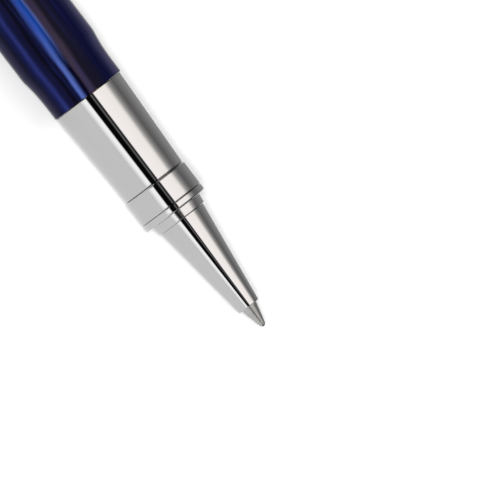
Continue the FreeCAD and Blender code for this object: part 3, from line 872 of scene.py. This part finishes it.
def windSpring(name, look, length):
    # the wire's round section swept up a helix round Z, from 0 to its length
    deselectAll()
    bpy.ops.mesh.primitive_circle_add(
        vertices=wireSides, radius=look["wire"] * mm, rotation=(math.pi / 2, 0, 0),
        location=(look["meanRadius"] * mm, 0, look["wire"] * mm))
    piece = bpy.context.object
    piece.name = name
    piece.data.name = name
    bpy.ops.object.transform_apply(location=True, rotation=True, scale=True)
    applyModifier(piece, "SCREW", axis="Z", steps=coilSteps, render_steps=coilSteps,
                  iterations=look["turns"], use_smooth_shade=True,
                  screw_offset=(length - 2 * look["wire"]) / look["turns"] * mm)
    bpy.ops.object.mode_set(mode="EDIT")
    bpy.ops.mesh.select_all(action="DESELECT")
    bpy.ops.mesh.select_non_manifold(extend=False)
    bpy.ops.mesh.fill_holes(sides=0)
    bpy.ops.mesh.select_all(action="SELECT")
    bpy.ops.mesh.normals_make_consistent(inside=False)
    bpy.ops.object.mode_set(mode="OBJECT")
    return piece


def makeRefillSpring():
    front, end, _ = extent("refill_spring")
    look = refillSpringLook
    length = end - front - 2 * springPlay
    piece = windSpring("refill_spring_wound", look, length)
    finishShading(piece)
    settle(piece, (0, math.pi / 2, 0), ((front + springPlay) * mm, 0, 0))
    place(piece, "refill_spring", "barrel", springSteel)
    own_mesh(piece)


def makeClipSpring():
    look = clipSpringLook
    turn = math.radians(clipLook["direction"])
    outward = Vector((0, -math.sin(turn), math.cos(turn)))
    low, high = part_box("clip_spring")
    middle = (low + high) / 2
    length = 2 * (middle.dot(outward) / mm - look["foot"] - springPlay)
    foot = Vector((middle.x, 0, 0)) + outward * (look["foot"] + springPlay) * mm
    piece = windSpring("clip_spring_wound", look, length)
    finishShading(piece)
    settle(piece, (turn, 0, 0), foot)
    place(piece, "clip_spring", "cap", springSteel)
    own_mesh(piece)


makeRefillTip()
makeNoseCone()
makeRing("nose_collar", collarLook, "section", satinChrome)
makeRing("flange_ring", flangeLook, "section", chrome)
makeRing("grip_band", bandLook, "section", chrome)
makeGripSleeve()
makeBarrel()
makeRing("tail_ring", tailRingLook, "barrel", chrome)
makeTailCap()
makeCapLipBand()
makeCapShell()
makeCapTopRing()
makeCrown()
makeCrownDisc()
makeClip()
makeRefillSpring()
makeClipSpring()

# pieces that keep their CAD shape
carriedOver = {
    "ball": carbide, "cap_plug": chrome, "clip_pin": springSteel, "cap_screw": springSteel,
    "grip_core": brass, "barrel_bush": brass, "barrel_liner": brass, "cap_liner": brass,
    "tail_insert": brass, "refill_holder": refillPlastic, "refill_tube": refillPlastic,
    "refill_end_plug": refillPlastic, "feed_rod": inkFibre, "ink_core": inkFibre,
    "inner_cap": innerPlastic, "section_o_ring": rubber,
}
for nodeName, material in carriedOver.items():
    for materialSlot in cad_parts[nodeName].material_slots:
        materialSlot.material = material
print("CAD pieces finished:", len(carriedOver))


floorLook = {
    "colour": "#ececec",
    "roughness": 0.9,
    "gloss": 0.1,       # mirror strength of uncoated card
    "grain": 0.4,       # mm
    "bump": 0.05,
    "bumpDepth": 0.02,  # mm
    "size": 6.0,        # m
}


def makeFloor():
    # sheet of matt white card, uncoated: even white with a faint tooth
    look = floorLook
    material, tree, shader, coords = newMaterial("cardUncoatedWhite", {
        "Base Color": linear(look["colour"]), "Roughness": look["roughness"],
        "Specular IOR Level": look["gloss"]})
    tooth = unevenness(tree, coords, look["grain"], look["grain"])
    bump = addNode(tree, "ShaderNodeBump", {
        "Strength": look["bump"], "Distance": look["bumpDepth"] * mm}, {"Height": tooth})
    tree.links.new(bump.outputs["Normal"], shader.inputs["Normal"])
    deselectAll()
    bpy.ops.mesh.primitive_plane_add(size=look["size"], location=(0, 0, cadLow.z))
    floor = bpy.context.object
    floor.name = "floor_card"
    floor.data.materials.append(material)


# the bands are the brightness of the studio by the angle about the pen's axis from the +Y side, in degrees:
# soft boxes, black flags and grey walls, as they run along the pen
studioLook = {
    "strength": 2.0,
    "bands": [
        (-180, "#828282"), (-176, "#bcbcbc"), (-4, "#c8c8c8"), (1, "#d4d4d4"), (5, "#e6e6e6"),
        (10, "#f6f6f6"), (16.5, "#f8f8f8"), (19.5, "#060606"), (33.5, "#060606"), (35.5, "#585858"),
        (38.5, "#585858"), (40.0, "#0a0a0a"), (43.5, "#0a0a0a"), (46.5, "#f8f3f1"), (84, "#f4ede9"),
        (90, "#e0dbd7"),
        (97, "#a6a4a2"), (106, "#7c7a79"), (118, "#5a5858"), (136, "#6c6c6c"), (158, "#7e7e7e"),
        (180, "#828282"),
    ],
    "endsFrom": (0.34, 0.66), "endsShare": 0.2,  # the studio darkens towards the pen's two ends
    "fill": 0.4,        # what the soft boxes give everything that isn't a mirror
    "lampStrength": 5.8,
    "lampAngle": 7.0,   # degrees, how wide the lamp looks from the pen
    "lampHeight": 30.0,  # degrees above the table
    "lampAt": (0, 1, 0.6),  # m; its light comes the same way wherever it stands
}


def lightStudio():
    look = studioLook
    world = bpy.data.worlds.new("studio")
    bpy.context.scene.world = world
    world.use_nodes = True
    tree = world.node_tree
    tree.nodes.clear()
    coords = addNode(tree, "ShaderNodeTexCoord")
    turns, parts = angleAcross(tree, coords.outputs["Generated"])
    bands = addNode(tree, "ShaderNodeValToRGB", {
        "stops": [(a / 360 + 0.5, linear(c)) for a, c in look["bands"]]}, {0: turns})
    ends = addNode(tree, "ShaderNodeMath", {"operation": "ABSOLUTE"}, {0: parts.outputs["X"]})
    strength = addNode(tree, "ShaderNodeMapRange", {
        (1, 2): look["endsFrom"],
        (3, 4): (look["strength"], look["strength"] * look["endsShare"])}, {0: ends})
    mirrored = addNode(tree, "ShaderNodeBackground", None, {"Color": bands, "Strength": strength})
    fill = addNode(tree, "ShaderNodeBackground", {"Color": (1, 1, 1, 1), "Strength": look["fill"]})
    ray = addNode(tree, "ShaderNodeLightPath")
    mix = addNode(tree, "ShaderNodeMixShader", None, {
        0: ray.outputs["Is Diffuse Ray"], 1: mirrored.outputs["Background"], 2: fill.outputs["Background"]})
    addNode(tree, "ShaderNodeOutputWorld", None, {"Surface": mix.outputs["Shader"]})
    # a broad lamp beside the camera lights the floor; the metal doesn't mirror it
    deselectAll()
    bpy.ops.object.light_add(type="SUN", location=look["lampAt"])
    lamp = bpy.context.object
    lamp.name = "frontLamp"
    lamp.data.energy = look["lampStrength"]
    lamp.data.angle = math.radians(look["lampAngle"])
    height = math.radians(look["lampHeight"])
    toLamp = Vector((0, math.cos(height), math.sin(height)))
    lamp.rotation_euler = toLamp.to_track_quat("Z", "Y").to_euler()
    lamp.visible_glossy = False


cameraLook = {
    "height": 30.0,         # degrees above the table
    "penRun": (-0.606, 0.7955),  # which way the pen runs in the frame: right and up
    "aimAlong": 9.87,       # mm, middle of the frame from the writing tip
    "aimAcross": 5.0,       # mm
    "distance": 1.4,        # m
    "frameWidth": 71.43,    # mm across the frame at the pen
    "squareAt": 41.0,       # mm along the pen, where the camera looks straight at it
    "sensor": 36.0,         # mm
    "sees": (0.01, 20.0),   # m, nearest and furthest
}


def aimCamera():
    look = cameraLook
    height = math.radians(look["height"])
    facing = Vector((0, math.cos(height), math.sin(height)))
    across = Vector((0, -math.sin(height), math.cos(height)))
    target = Vector((look["aimAlong"] * mm, 0, 0)) + across * look["aimAcross"] * mm
    spot = target + facing * look["distance"]
    spot.x = look["squareAt"] * mm
    back = (spot - target).normalized()
    along = Vector((1, 0, 0))
    along = (along - back * along.dot(back)).normalized()
    across = along.cross(back)
    right = along * look["penRun"][0] + across * look["penRun"][1]
    up = along * look["penRun"][1] - across * look["penRun"][0]
    deselectAll()
    bpy.ops.object.camera_add(location=spot)
    camera = bpy.context.object
    camera.matrix_world = Matrix.Translation(spot) @ Matrix((right, up, back)).transposed().to_4x4()
    camera.data.sensor_width = look["sensor"]
    camera.data.lens = look["sensor"] * look["distance"] / (look["frameWidth"] * mm)
    camera.data.clip_start, camera.data.clip_end = look["sees"]
    bpy.context.scene.camera = camera


makeFloor()
lightStudio()
aimCamera()
bpy.context.scene.view_settings.view_transform = "Standard"
print("floor, light and camera set")
